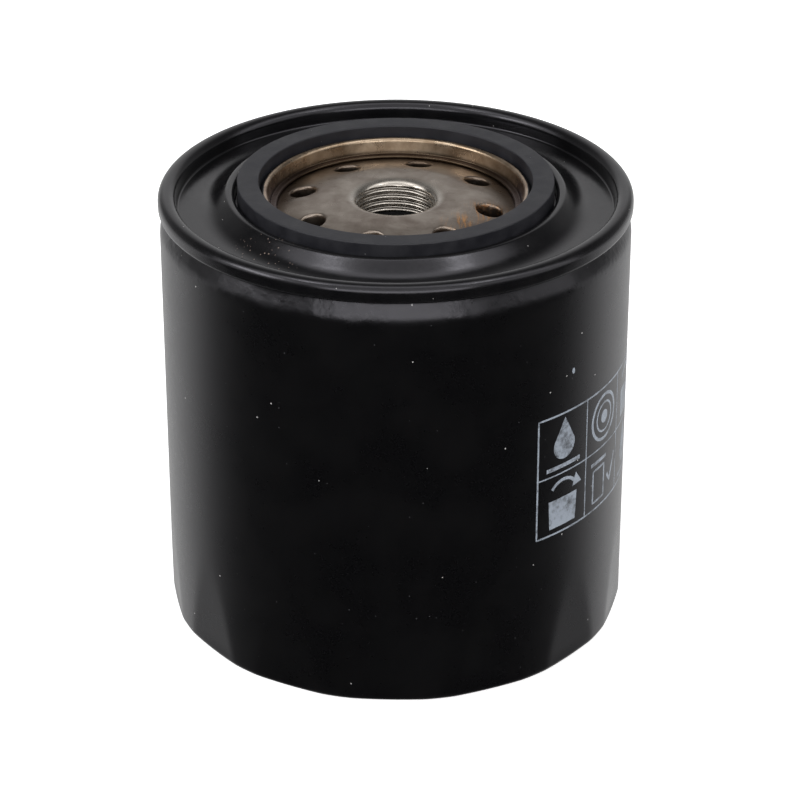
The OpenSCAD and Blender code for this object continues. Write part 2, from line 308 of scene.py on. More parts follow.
def ripple(angles, levels, seed, turns, rise):
    """Smooth random waves, about -1 to 1: turns is the most waves round, rise waves per millimetre."""
    random = np.random.default_rng(seed)
    total = np.zeros_like(levels)
    for _ in range(WAVES):
        around = random.integers(2, turns + 1)
        up = random.uniform(-rise, rise)
        total += np.sin(around * angles + TAU * up * levels + random.uniform(0, TAU))
    return total / math.sqrt(WAVES)


def smooth_step(low, high, x):
    t = np.clip((x - low) / (high - low), 0, 1)
    return t * t * (3 - 2 * t)


def cut(piece, cutters):
    """Takes the cutters' solids out of a piece for good."""
    for cutter in cutters:
        modifier = piece.modifiers.new("cut", "BOOLEAN")
        modifier.object = cutter
        modifier.solver = "MANIFOLD"
    bpy.context.view_layer.update()
    evaluated = piece.evaluated_get(bpy.context.evaluated_depsgraph_get())
    result = bpy.data.meshes.new_from_object(evaluated)
    piece.modifiers.clear()
    piece.data = result
    result.shade_smooth()
    result.set_sharp_from_angle(angle=PUNCHED_SHARP)
    for cutter in cutters:
        bpy.data.objects.remove(cutter)


# ---------------------------------------------------------------- materials


class Finish:
    """A node material. Each method adds one node and returns its output socket."""

    def __init__(self, name, **constants):
        self.material = bpy.data.materials.new(name)
        self.material.use_nodes = True
        self.tree = self.material.node_tree
        self.shader = self.tree.nodes["Principled BSDF"]
        for key, value in constants.items():
            self.shader.inputs[key.replace("_", " ")].default_value = value
        self.place = self.node("ShaderNodeTexCoord").outputs["Object"]

    def node(self, kind, **settings):
        made = self.tree.nodes.new(kind)
        for key, value in settings.items():
            setattr(made, key, value)
        return made

    def feed(self, socket, value):
        if isinstance(value, bpy.types.NodeSocket):
            self.tree.links.new(value, socket)
        elif value is not None:
            socket.default_value = value

    def noise(self, size, detail=4.0, rough=0.5, place=None, distortion=0.0):
        """Noise whose blobs are about size millimetres across."""
        made = self.node("ShaderNodeTexNoise")
        self.feed(made.inputs["Vector"], place or self.place)
        made.inputs["Scale"].default_value = 1 / (size * MM)
        made.inputs["Detail"].default_value = detail
        made.inputs["Roughness"].default_value = rough
        made.inputs["Distortion"].default_value = distortion
        return made.outputs["Fac"]

    def cells(self, size):
        """Distance from the nearest of scattered points, and each point's own random value."""
        made = self.node("ShaderNodeTexVoronoi")
        self.feed(made.inputs["Vector"], self.place)
        made.inputs["Scale"].default_value = 1 / (size * MM)
        split = self.node("ShaderNodeSeparateColor")
        self.feed(split.inputs["Color"], made.outputs["Color"])
        return made.outputs["Distance"], split.outputs["Red"]

    def stretched(self, x, y, z):
        """The place, scaled along each axis."""
        made = self.node("ShaderNodeVectorMath", operation="MULTIPLY")
        self.feed(made.inputs[0], self.place)
        made.inputs[1].default_value = (x, y, z)
        return made.outputs["Vector"]

    def calc(self, operation, a, b=None):
        made = self.node("ShaderNodeMath", operation=operation)
        self.feed(made.inputs[0], a)
        self.feed(made.inputs[1], b)
        return made.outputs["Value"]

    def spread(self, value, low, high, to_low=0.0, to_high=1.0):
        """Maps low..high onto to_low..to_high with soft ends."""
        made = self.node("ShaderNodeMapRange", interpolation_type="SMOOTHSTEP")
        self.feed(made.inputs["Value"], value)
        made.inputs["From Min"].default_value = low
        made.inputs["From Max"].default_value = high
        made.inputs["To Min"].default_value = to_low
        made.inputs["To Max"].default_value = to_high
        return made.outputs["Result"]

    def mix(self, share, a, b):
        made = self.node("ShaderNodeMix", data_type="RGBA")
        self.feed(made.inputs[0], share)
        self.feed(made.inputs[6], a if isinstance(a, bpy.types.NodeSocket) else (*a, 1))
        self.feed(made.inputs[7], b if isinstance(b, bpy.types.NodeSocket) else (*b, 1))
        return made.outputs[2]

    def level(self):
        """Height over the base, in metres."""
        split = self.node("ShaderNodeSeparateXYZ")
        self.feed(split.inputs["Vector"], self.place)
        return split.outputs["Z"]

    def radius(self):
        """Distance from the filter's axis, in metres."""
        made = self.node("ShaderNodeVectorMath", operation="LENGTH")
        self.feed(made.inputs[0], self.stretched(1, 1, 0))
        return made.outputs["Value"]

    def near(self, x, y, z, reach):
        """1 at a point given in millimetres, falling to 0 at reach millimetres from it."""
        made = self.node("ShaderNodeVectorMath", operation="DISTANCE")
        self.feed(made.inputs[0], self.place)
        made.inputs[1].default_value = (x * MM, y * MM, z * MM)
        return self.spread(made.outputs["Value"], 0, reach * MM, 1, 0)

    def specks(self, size, share, dot):
        """Scattered dots: one spot per cell of a size, on a share of the cells."""
        distance, chance = self.cells(size)
        inside = self.calc("LESS_THAN", distance, dot)
        kept = self.calc("LESS_THAN", chance, share)
        return self.calc("MULTIPLY", inside, kept)

    def bump(self, height, depth, normal=None):
        """Bump whose full height is depth millimetres."""
        made = self.node("ShaderNodeBump")
        made.inputs["Strength"].default_value = 1.0
        made.inputs["Distance"].default_value = depth * MM
        self.feed(made.inputs["Height"], height)
        self.feed(made.inputs["Normal"], normal)
        return made.outputs["Normal"]

    def wire(self, **sockets):
        """Links results to the shader's sockets."""
        for key, value in sockets.items():
            self.feed(self.shader.inputs[key.replace("_", " ")], value)
        return self.material


ENAMEL_TINT = (0.94, 0.92, 1.0, 1)


def black_paint():
    """Satin black enamel on the can: orange peel, dust, and wrinkled paint on the shoulder."""
    f = Finish("can_paint", IOR=1.5, Specular_Tint=ENAMEL_TINT)
    cloud = f.noise(14, 5, 0.6)
    speckle = f.noise(1.2, 3, 0.6)
    dust = f.specks(3.4, 0.16, 0.055)
    fine_dust = f.specks(1.5, 0.10, 0.07)
    base = f.mix(f.spread(cloud, 0.35, 0.7), (0.0010, 0.0010, 0.0012), (0.0022, 0.0021, 0.0022))
    dusty = f.mix(f.calc("MULTIPLY", fine_dust, 0.25), base, (0.25, 0.25, 0.27))
    colour = f.mix(f.calc("MULTIPLY", dust, 0.8), dusty, (0.42, 0.41, 0.40))
    worn = f.calc("ADD", f.calc("MULTIPLY", cloud, 0.5), f.calc("MULTIPLY", speckle, 0.5))
    roughness = f.spread(worn, 0.3, 0.7, 0.265, 0.315)
    shoulder = f.calc(
        "MULTIPLY",
        f.spread(f.level(), 94.6 * MM, 96.4 * MM),
        f.spread(f.noise(9, 2), 0.42, 0.6),
    )
    peel = f.bump(f.noise(0.9, 2, 0.4), 0.006)
    wrinkled = f.bump(f.calc("MULTIPLY", f.noise(1.8, 3, 0.55), shoulder), 0.10, normal=peel)
    return f.wire(Base_Color=colour, Roughness=roughness, Normal=wrinkled)


def lid_finish():
    """Black enamel outside the inner ring, with dust at the ridge's foot, and oily steel inside, which
    has painted shade darkening it towards the foot of the ring's wall.
    """
    f = Finish("lid_paint", IOR=1.5, Specular_Tint=ENAMEL_TINT)
    edge = f.calc("ADD", f.radius(), f.calc("MULTIPLY", f.noise(2.2, 4, 0.6), 0.5 * MM))
    painted = f.spread(edge, (PAINT_EDGE_R + 0.15) * MM, (PAINT_EDGE_R + 0.33) * MM)
    cloud = f.noise(7, 5, 0.6)
    grit = f.noise(0.8, 3, 0.6)
    dust = f.specks(2.6, 0.2, 0.06)
    paint = f.mix(f.spread(cloud, 0.35, 0.7), (0.0018, 0.0018, 0.0021), (0.0042, 0.0040, 0.0042))
    swept = f.calc("MULTIPLY", f.near(-29, -31, 101, 12), f.specks(0.8, 0.45, 0.2))
    gritty = f.mix(swept, paint, (0.26, 0.20, 0.17))
    dusted = f.mix(f.calc("MULTIPLY", dust, 0.7), gritty, (0.36, 0.35, 0.34))
    oiled = f.mix(f.spread(f.noise(5, 6, 0.65), 0.3, 0.72), (0.27, 0.195, 0.130), (0.52, 0.41, 0.30))
    # Painted shade: the bare steel inside the ring darkens towards the foot of its wall, where it meets
    # the plate.
    wall_foot_shade = f.spread(f.level(), 100.5 * MM, 101.5 * MM, 0.92, 0.0)
    steel = f.mix(wall_foot_shade, oiled, (0.045, 0.030, 0.019))
    colour = f.mix(painted, steel, dusted)
    bare = f.calc("SUBTRACT", 1.0, painted)
    worn = f.calc("ADD", f.calc("MULTIPLY", grit, 0.5), f.calc("MULTIPLY", cloud, 0.5))
    paint_rough = f.spread(worn, 0.3, 0.7, 0.17, 0.26)
    steel_rough = f.spread(cloud, 0.3, 0.7, 0.22, 0.36)
    share = f.calc("MULTIPLY", steel_rough, bare)
    roughness = f.calc("ADD", share, f.calc("MULTIPLY", paint_rough, painted))
    peel = f.bump(grit, 0.010)
    return f.wire(Base_Color=colour, Metallic=bare, Roughness=roughness, Normal=peel)


def plate_steel():
    """Bare pressed steel under a dried film of oil, with rust near one inlet hole, and painted shade
    darkening the plate towards the ring's wall.
    """
    f = Finish("plate_steel", Metallic=1.0)
    cloud = f.noise(9, 6, 0.62, distortion=0.4)
    stain = f.noise(3.2, 6, 0.7)
    grain = f.noise(0.5, 3, 0.6)
    scratch_a = f.noise(0.9, 5, 0.7, place=f.stretched(1, 0.12, 1))
    scratch_b = f.noise(0.9, 5, 0.7, place=f.stretched(0.15, 1, 1))
    radius = f.radius()
    oily = f.mix(f.spread(cloud, 0.32, 0.68), (0.185, 0.145, 0.118), (0.330, 0.285, 0.245))
    marked = f.mix(f.calc("MULTIPLY", f.spread(stain, 0.55, 0.8), 0.5), oily, (0.13, 0.095, 0.065))
    # Painted shade: the plate darkens towards its outer edge, down in the well under the ring's wall.
    well_shade = f.calc("MULTIPLY", f.spread(radius, 20.5 * MM, 27.0 * MM), 0.85)
    darker = f.mix(well_shade, marked, (0.088, 0.058, 0.036))
    rust_place = f.calc("MAXIMUM", f.near(20.5, -6.5, 101, 7.5), f.near(14.5, -12.5, 101.3, 5.5))
    rust = f.calc("MULTIPLY", rust_place, f.spread(scratch_a, 0.45, 0.62))
    rusty = f.mix(f.calc("MULTIPLY", rust, 0.9), darker, (0.62, 0.30, 0.10))
    neck = f.spread(radius, 9.7 * MM, 11.4 * MM, 1, 0)
    bright = f.mix(f.calc("MULTIPLY", neck, 0.85), rusty, (0.49, 0.455, 0.41))
    uneven = f.calc("ADD", f.calc("MULTIPLY", stain, 0.6), f.calc("MULTIPLY", scratch_b, 0.4))
    dull = f.spread(uneven, 0.3, 0.7, 0.24, 0.42)
    roughness = f.calc("SUBTRACT", dull, f.calc("MULTIPLY", neck, 0.06))
    height = f.calc("ADD", f.calc("MULTIPLY", grain, 0.6), f.calc("MULTIPLY", scratch_b, 0.4))
    rough = f.bump(f.calc("MULTIPLY", height, f.calc("SUBTRACT", 1.0, neck)), 0.012)
    pitted = f.bump(f.calc("MULTIPLY", rust, f.noise(0.6, 3)), 0.12, normal=rough)
    return f.wire(Base_Color=bright, Roughness=roughness, Normal=pitted)


def rubber(name, dark, pale, grain_depth=0.02):
    """Moulded rubber with bloom, fine grain and lint."""
    f = Finish(name, IOR=1.5)
    bloom = f.noise(6, 5, 0.65)
    grain = f.noise(0.35, 3, 0.6)
    lint = f.specks(2.2, 0.14, 0.055)
    base = f.mix(f.spread(bloom, 0.3, 0.72), dark, pale)
    colour = f.mix(f.calc("MULTIPLY", lint, 0.6), base, (0.30, 0.30, 0.31))
    roughness = f.spread(bloom, 0.3, 0.7, 0.48, 0.66)
    return f.wire(Base_Color=colour, Roughness=roughness, Normal=f.bump(grain, grain_depth))


def stamped_steel(name, dark, pale, low=0.28, high=0.46, blob=8):
    """Zinc-coated or tinned steel with spangle, drawn lines and handling marks."""
    f = Finish(name, Metallic=1.0)
    chance = f.cells(blob * 0.35)[1]
    cloud = f.noise(blob, 5, 0.6)
    lines = f.noise(0.7, 4, 0.65, place=f.stretched(1, 1, 0.1))
    share = f.calc("ADD", f.calc("MULTIPLY", cloud, 0.7), f.calc("MULTIPLY", chance, 0.3))
    colour = f.mix(f.spread(share, 0.25, 0.75), dark, pale)
    worn = f.calc("ADD", f.calc("MULTIPLY", lines, 0.5), f.calc("MULTIPLY", cloud, 0.5))
    roughness = f.spread(worn, 0.3, 0.7, low, high)
    return f.wire(Base_Color=colour, Roughness=roughness, Normal=f.bump(lines, 0.008))


def filter_paper():
    """Resin-treated paper: fibres, a slight mottle and embossed lines."""
    f = Finish("filter_paper", IOR=1.45, Specular_IOR_Level=0.2, Subsurface_Weight=0.05)
    fibre = f.noise(0.5, 6, 0.75, place=f.stretched(1, 1, 0.3))
    mottle = f.noise(7, 4, 0.6)
    emboss = f.calc("SINE", f.calc("MULTIPLY", f.level(), TAU / (3.2 * MM)))
    colour = f.mix(f.spread(mottle, 0.3, 0.7), (0.62, 0.43, 0.20), (0.80, 0.62, 0.34))
    flecked = f.mix(f.calc("MULTIPLY", f.spread(fibre, 0.55, 0.75), 0.35), colour, (0.46, 0.30, 0.13))
    height = f.calc("ADD", f.calc("MULTIPLY", fibre, 0.5), f.calc("MULTIPLY", emboss, 0.25))
    roughness = f.spread(fibre, 0.3, 0.7, 0.72, 0.9)
    return f.wire(Base_Color=flecked, Roughness=roughness, Normal=f.bump(height, 0.05))


def cured_glue(name, dark, pale):
    """Poured adhesive with a wavy skin and small bubbles."""
    f = Finish(name, IOR=1.5, Subsurface_Weight=0.15)
    cloud = f.noise(9, 4, 0.6)
    bubbles = f.specks(1.8, 0.3, 0.16)
    colour = f.mix(f.spread(cloud, 0.3, 0.7), dark, pale)
    marked = f.mix(f.calc("MULTIPLY", bubbles, 0.4), colour, tuple(c * 0.6 for c in dark))
    roughness = f.spread(cloud, 0.3, 0.7, 0.26, 0.42)
    wavy = f.bump(f.noise(3.5, 3, 0.5), 0.12)
    return f.wire(Base_Color=marked, Roughness=roughness, Normal=f.bump(bubbles, 0.06, normal=wavy))


def spring_wire():
    """Dark oiled spring steel with lines drawn along the wire."""
    f = Finish("spring_wire", Metallic=1.0)
    cloud = f.noise(5, 5, 0.6)
    lines = f.noise(0.4, 4, 0.7, place=f.stretched(0.4, 0.4, 3))
    colour = f.mix(f.spread(cloud, 0.3, 0.7), (0.20, 0.20, 0.215), (0.36, 0.355, 0.35))
    roughness = f.spread(lines, 0.3, 0.7, 0.24, 0.42)
    return f.wire(Base_Color=colour, Roughness=roughness, Normal=f.bump(lines, 0.01))


def printed_ink():
    """Bluish-grey screen print, thin and faded in places."""
    f = Finish("printed_ink", IOR=1.5)
    wear = f.noise(1.6, 6, 0.75)
    patch = f.noise(8, 3, 0.6)
    share = f.calc("ADD", f.calc("MULTIPLY", wear, 0.6), f.calc("MULTIPLY", patch, 0.4))
    colour = f.mix(f.spread(share, 0.34, 0.56), (0.045, 0.049, 0.056), (0.235, 0.265, 0.31))
    roughness = f.spread(wear, 0.3, 0.7, 0.30, 0.45)
    return f.wire(Base_Color=colour, Roughness=roughness, Normal=f.bump(wear, 0.006))


# ---------------------------------------------------------------- can and lid


def flats_inset(angles, levels):
    """How far the drafted wrench flats take the can's wall inwards, with rounded lands."""
    pitch = TAU / FLATS
    across = (angles - FLAT_TURN + pitch / 2) % pitch - pitch / 2
    depth = FLAT_DEPTH * (1 - levels / FLAT_TOP)
    total = np.ones_like(levels)
    for side in (-1, 0, 1):
        reach = (CAN_R - depth) / np.cos(across - side * pitch)
        total += np.exp(-(reach - CAN_R) / FLAT_ROUNDING)
    return FLAT_ROUNDING * np.log(total)


def can_shape(r, z, angles):
    """Wrench flats at the closed end, and slight dents on the shoulder."""
    on_wall = smooth_step(DISH_R + 6, CAN_R - CAN_CORNER, r)
    low_end = smooth_step(FLAT_TOP + 12, FLAT_TOP + 8, z)
    base_edge = 0.5 + 0.5 * smooth_step(0.2, 3.0, z)
    inset = flats_inset(angles, z) * on_wall * low_end * base_edge
    band = smooth_step(94.4, 96.6, z) * smooth_step(100.4, 99.2, z)
    front = 0.12 + 0.88 * np.clip(np.cos(angles + 0.3), 0, 1) ** 3
    dents = 0.11 * ripple(angles, z, 4, 15, 0.06) + 0.03 * ripple(angles, z, 9, 60, 0.12)
    return r - inset - np.abs(dents) * band * front, z


def make_can():
    roll_top = CAN_ROLL_Z + CAN_ROLL
    outline = sheet_outline([
        (0, DISH_H + CAN_T / 2),
        (DISH_R, DISH_H + CAN_T / 2, DISH_BEND),
        (DISH_R + 3, CAN_T / 2, DISH_BEND),
        (CAN_R - CAN_T / 2, CAN_T / 2, CAN_CORNER - CAN_T / 2),
        (CAN_R - CAN_T / 2, SHOULDER_Z, SHOULDER_BEND),
        (CAN_NECK_R, NECK_Z, 0.8),
        (CAN_NECK_R, roll_top, CAN_ROLL),
        (CAN_HOOK_R, roll_top, CAN_ROLL),
        (CAN_HOOK_R, CAN_HOOK_END),
    ], CAN_T, from_axis=True)
    outline = divided(outline, 1.5, closed=False)
    return revolve("can_shell", outline, FLATS * 36, can_shape, closed=False)


def lid_shape(r, z, angles):
    """The press leaves the lid's sheet a few hundredths of a millimetre uneven."""
    free = smooth_step(PAINT_EDGE_R, PAINT_EDGE_R + 6, r) * smooth_step(52.0, 50.0, r)
    return r, z + 0.03 * free * ripple(angles, r, 12, 14, 0.06)


def make_lid():
    crest = SEAM_TOP - LID_T / 2
    floor = PLATE_RIM_Z + LID_T / 2
    foot = SEAM_BOTTOM + LID_T / 2
    outline = sheet_outline([
        (FLANGE_IN_R, floor),
        (RING_FOOT_R, floor, 0.7),
        (RING_R, RING_TOP - LID_T / 2, 0.5),
        (RING_R + 1, RING_TOP - LID_T / 2, 0.5),
        (RING_R + 1, floor, 0.6),
        (LIP_R, floor, 0.6),
        (LIP_R, LIP_TOP - LID_T / 2, 0.6),
        (LIP_OUT_R, LIP_TOP - LID_T / 2, 0.6),
        (RIDGE_FOOT_R, VALLEY_Z, RIDGE_FOOT_BEND),
        (CHUCK_R - 0.2, VALLEY_Z, 0.9),
        (CHUCK_R, crest, CREST_BEND),
        (LID_WALL_R, crest, CREST_BEND),
        (LID_WALL_R, foot, LID_ROLL),
        (LID_HOOK_R, foot, LID_ROLL),
        (LID_HOOK_R, LID_HOOK_END),
    ], LID_T)
    return revolve("seaming_lid_skin", divided(outline, 0.9), 384, lid_shape)


def gasket_shape(r, z, angles):
    """Moulded edges are not quite true, and two faint mould lines cross the outer wall."""
    width = 0.5 + 0.5 * np.cos(np.pi * np.clip((r - GASKET_OUT) / 0.25, -1, 1))
    wave = 0.035 * ripple(angles, z, 21, 60, 0.2)
    lines = np.zeros_like(r)
    for place in (-0.43, -0.02):
        lines += np.exp(-((angles + np.pi - place) % TAU - np.pi) ** 2 / 0.012 ** 2)
    return r + width * (wave - 0.03 - 0.06 * lines), z


def make_gasket():
    outline = rounded_outline([
        (GASKET_IN, GASKET_LOW, 0.35),
        (GASKET_OUT, GASKET_LOW, 0.35),
        (GASKET_OUT, GASKET_TOP, 0.3),
        (GASKET_IN, GASKET_TOP, 0.3),
    ])
    return revolve("gasket_ring", divided(outline, 0.5), 420, gasket_shape)


# ---------------------------------------------------------------- thread plate


def thread_groove(angles, levels):
    """Radius of a right-hand internal 60 degree thread at each angle and level."""
    phase = (levels / THREAD_PITCH - angles / TAU) % 1.0
    from_root = np.abs(phase - 0.5) * 2
    return BORE_R + (THREAD_ROOT_R - BORE_R) * smooth_step(0.86, 0.10, from_root)


def plate_shape(r, z, angles):
    """Cuts the thread into the bore and its mouth."""
    in_bore = (r < NECK_R - 0.8) & (z < CROWN_Z - 0.02) & (z > NECK_BOTTOM + 0.01)
    fade = smooth_step(NECK_BOTTOM, NECK_BOTTOM + 0.5, z)
    groove = BORE_R + (thread_groove(angles, z) - BORE_R) * fade
    return np.where(in_bore, np.maximum(r, groove), r), z


def plate_outline():
    wall = [np.array([BORE_R, z]) for z in np.linspace(NECK_BOTTOM, CROWN_Z - ROLL_H, 88)[1:]]
    mouth = []
    for angle in np.linspace(0, math.pi / 2, 26)[1:]:
        mouth.append(np.array([
            BORE_R + ROLL_W * (1 - math.cos(angle)),
            CROWN_Z - ROLL_H * (1 - math.sin(angle)),
        ]))
    under_rim = PLATE_RIM_Z - PLATE_T
    under_crown = CROWN_Z - PLATE_T - 0.07
    body = rounded_outline([
        (BORE_R + ROLL_W + 0.1, CROWN_Z, 0),
        (CROWN_R, CROWN_Z, 40.0),
        (CONE_R, PLATE_RIM_Z, 1.0),
        (PLATE_R, PLATE_RIM_Z, 0.3),
        (PLATE_R, under_rim, 0.3),
        (CONE_R - 0.3, under_rim, 1.0),
        (CROWN_R - 0.3, under_crown, 2.0),
        (NECK_R, under_crown, 1.0),
        (NECK_R, NECK_BOTTOM, 0.35),
        (BORE_R, NECK_BOTTOM, 0),
    ])
    return wall + mouth + divided(body, 1.2, closed=False)


# Rings of the punch: how much wider than the hole, and how far under the plate's face.
# The first ring is at the bottom of the plate's neck, and the last is above the face.
PUNCH_RINGS = (
    (-0.12, None), (-0.12, 0.9), (-0.08, 0.55), (0.02, 0.28), (0.17, 0.10), (0.42, 0.0), (0.62, -3.0),
)


def inlet_cutter(index):
    """Punch for one inlet hole, which rolls the edge of the plate's sloping face over."""
    sides = 56
    turn = INLET_TURN + index * TAU / INLETS
    around = np.arange(sides) * TAU / sides
    rings = []
    for wider, drop in PUNCH_RINGS:
        reach = INLET_R + wider
        outward = INLET_CIRCLE_R + reach * np.cos(around)
        aside = reach * np.sin(around)
        if drop is None:
            level = np.full(sides, NECK_BOTTOM)
        else:
            level = CROWN_Z - CONE_SLOPE * (np.hypot(outward, aside) - CROWN_R) - drop
        x = outward * math.sin(turn) + aside * math.cos(turn)
        y = -outward * math.cos(turn) + aside * math.sin(turn)
        rings.append(np.stack([x, y, level], 1))
    faces = grid_faces(len(rings), sides)
    last = (len(rings) - 1) * sides
    faces.append(tuple(range(sides)))
    faces.append(tuple(range(last, last + sides)))
    return make_mesh("cutter", np.vstack(rings), faces)


def make_plate():
    piece = revolve("thread_plate_steel", plate_outline(), 240, plate_shape)
    cut(piece, [inlet_cutter(i) for i in range(INLETS)])
    return piece


def make_drain_collar():
    """Collar of the anti-drain valve, clamped between the plate's neck and the element."""
    low = CAP_TOP + 0.05
    top = NECK_BOTTOM - 0.05
    inner = CAP_NECK_R + CAP_T + 0.1
    outline = rounded_outline([
        (inner, low, 0.2),
        (COLLAR_R, low, 0.3),
        (COLLAR_R, top, 0.3),
        (BORE_R + 0.9, top, 0.25),
        (BORE_R + 0.9, CAP_NECK_TOP + 0.1, 0.25),
        (inner, CAP_NECK_TOP + 0.1, 0.2),
    ])
    return revolve("anti_drain_collar_skin", divided(outline, 0.8), 224)


def make_drain_flap():
    """Flap of the same moulding: it bends from its root at the collar up to its lip."""
    outline = rounded_outline([
        (COLLAR_R + 0.02, FLAP_ROOT - FLAP_T, 0.1),
        (28.4, FLAP_LIP - 1.7, 1.2),
        (30.0, FLAP_LIP - 0.9, 0.3),
        (30.0, FLAP_LIP, 0.25),
        (28.4, FLAP_LIP, 0.4),
        (27.0, FLAP_LIP - 0.9, 1.2),
        (COLLAR_R + 0.02, FLAP_ROOT, 0.1),
    ])
    return revolve("anti_drain_flap_skin", divided(outline, 0.5), 224)


# ---------------------------------------------------------------- element


def pleat_fold(middle, radius, size, side):
    """Half circle of one fold, seen from above. side is 1 for an outer fold and -1 for an inner one."""
    found = []
    for k in range(9):
        a = (k / 8 - 0.5) * math.pi
        aside = size * math.sin(a)
        along = radius - side * size + side * size * math.cos(a)
        found.append(turned(np.array([along, aside]), middle))
    return found


def pleat_line():
    """Middle line of the paper, seen from above, from one end at the clip round to the other."""
    step = TAU / PLEATS
    end_r = PLEAT_OUT - 4.6
    line = [np.array([end_r, 0.45])]
    for i in range(PLEATS):
        line += pleat_fold((i + 0.5) * step, PLEAT_IN, FOLD_IN_R, -1)
        if i < PLEATS - 1:
            line += pleat_fold((i + 1) * step, PLEAT_OUT, FOLD_OUT_R, 1)
    line.append(np.array([end_r, -0.45]))
    return np.array(line)


def make_media():
    """Pleated paper, open where the clip joins its two ends."""
    half = PAPER_T / 2
    line = pleat_line()
    along = np.gradient(line, axis=0)
    along /= np.linalg.norm(along, axis=1)[:, None]
    normal = np.stack([-along[:, 1], along[:, 0]], 1)
    section = np.vstack([line + normal * half, (line - normal * half)[::-1]])
    count = len(section)
    levels = np.linspace(MEDIA_LOW, MEDIA_HIGH, 5)
    points = np.vstack([np.column_stack([section, np.full(count, z)]) for z in levels])
    faces = grid_faces(len(levels), count)
    top = (len(levels) - 1) * count
    pairs = len(line)
    for i in range(pairs - 1):
        a, b, c, d = i, i + 1, count - 2 - i, count - 1 - i
        faces.append((a, b, c, d))
        faces.append((top + a, top + b, top + c, top + d))
    return make_mesh("filter_paper_pleats", points, faces)


def make_coil(name, turns, wire, r_low, r_high, low, high, dead, per_turn=48, sides=16):
    """Coil spring whose end turns lie flat and are ground to the seats' planes."""
    rings = int(turns * per_turn)
    t = np.linspace(0, 1, rings + 1)[:, None]
    rise = np.clip((t * turns - dead) / (turns - 2 * dead), 0, 1)
    radius = r_low + (r_high - r_low) * t
    level = low + wire / 2 + (high - low - wire) * rise
    side = np.arange(sides)[None, :] * TAU / sides
    r = radius + wire / 2 * np.cos(side)
    z = np.clip(level + wire / 2 * np.sin(side), low + wire * 0.06, high - wire * 0.06)
    angle = TAU * turns * t
    points = np.stack([r * np.cos(angle), r * np.sin(angle), z], -1).reshape(-1, 3)
    faces = grid_faces(rings + 1, sides)
    faces.append(tuple(range(sides)))
    faces.append(tuple(range(rings * sides, (rings + 1) * sides)))
    return make_mesh(name, points, faces)


# ---------------------------------------------------------------- printed panel


def on_wall(places, lift):
    """Points on the can's wall from (arc length, level) pairs, raised by lift."""
    places = np.asarray(places, float)
    angle = places[:, 0] / CAN_R
    r = CAN_R + lift
    return np.column_stack([r * np.sin(angle), -r * np.cos(angle), places[:, 1]])


def ink_line(places, width, closed=False):
    """Thin printed line along (arc length, level) pairs, as a closed strip on the wall."""
    line = np.array(divided([np.array(p, float) for p in places], 1.0, closed))
    if closed:
        ahead, behind = np.roll(line, -1, 0), np.roll(line, 1, 0)
        along = ahead - behind
    else:
        along = np.gradient(line, axis=0)
    along /= np.linalg.norm(along, axis=1)[:, None]
    normal = np.stack([-along[:, 1], along[:, 0]], 1) * width / 2
    rows = []
    for edge, lift in ((normal, INK_ROOT), (normal, INK_LIFT), (-normal, INK_LIFT), (-normal, INK_ROOT)):
        rows.append(on_wall(line + edge, lift))
    points = np.stack(rows, 1).reshape(-1, 3)
    faces = []
    count = len(line)
    for i in range(count if closed else count - 1):
        a, b = i * 4, ((i + 1) % count) * 4
        for j in range(4):
            k = (j + 1) % 4
            faces.append((a + j, a + k, b + k, b + j))
    if not closed:
        end = (count - 1) * 4
        faces.append((0, 1, 2, 3))
        faces.append((end, end + 1, end + 2, end + 3))
    return points, faces


def ink_shape(places):
    """Filled printed shape whose outline can be seen from its middle."""
    edge = np.array(divided([np.array(p, float) for p in places], 0.8))
    middle = edge.mean(0)
    count = len(edge)
    rings = [middle + (edge - middle) * share for share in (1.0, 0.66, 0.33)]
    points = [on_wall(edge, INK_ROOT)] + [on_wall(ring, INK_LIFT) for ring in rings]
    points += [on_wall([middle], INK_LIFT), on_wall([middle], INK_ROOT)]
    faces = grid_faces(4, count)
    top, bottom = 4 * count, 4 * count + 1
    for j in range(count):
        k = (j + 1) % count
        faces.append((3 * count + j, 3 * count + k, top))
        faces.append((k, j, bottom))
    return np.vstack(points), faces


def circle(x, z, r, start=0, stop=360, step=15):
    return [(x + r * math.cos(math.radians(a)), z + r * math.sin(math.radians(a)))
            for a in range(start, stop, step)]


def drop_icon(x, z):
    """Oil drop above the gasket's face."""
    outline = circle(x, z - 0.6, 3.4, -205, 26, 11)
    outline.append((x, z + 6.4))
    return [ink_shape(outline), ink_line([(x - 5.4, z - 5.7), (x + 5.4, z - 5.7)], 1.0)]


def ring_icon(x, z):
    """Filter seen from its threaded end."""
    return [
        ink_line(circle(x, z, 5.6), 0.8, True),
        ink_line(circle(x, z, 3.6), 0.5, True),
        ink_shape(circle(x, z, 1.6)),
    ]


def turn_icon(x, z):
    """Filter with an arrow that turns over it."""
    body = [(x - 4.2, z - 6), (x + 4.2, z - 6), (x + 4.6, z + 1.2), (x - 4.6, z + 1.2)]
    arrow = circle(x, z + 1.0, 4.7, 40, 150, 10)
    head = [(x + 3.0, z + 2.6), (x + 6.2, z + 3.0), (x + 4.2, z + 5.9)]
    return [ink_shape(body), ink_line(arrow, 0.8), ink_shape(head)]


def check_icon(x, z):
    """Filter on its seat with a tick beside it."""
    body = [(x - 4.6, z - 5.6), (x + 0.6, z - 5.6), (x + 0.6, z + 2.6), (x - 4.6, z + 2.6)]
    return [
        ink_line(body, 0.6, True),
        ink_line([(x - 5.6, z + 4.4), (x + 1.6, z + 4.4)], 0.9),
        ink_line([(x + 2.4, z - 1), (x + 4, z - 3.2), (x + 6.6, z + 3)], 0.8),
    ]


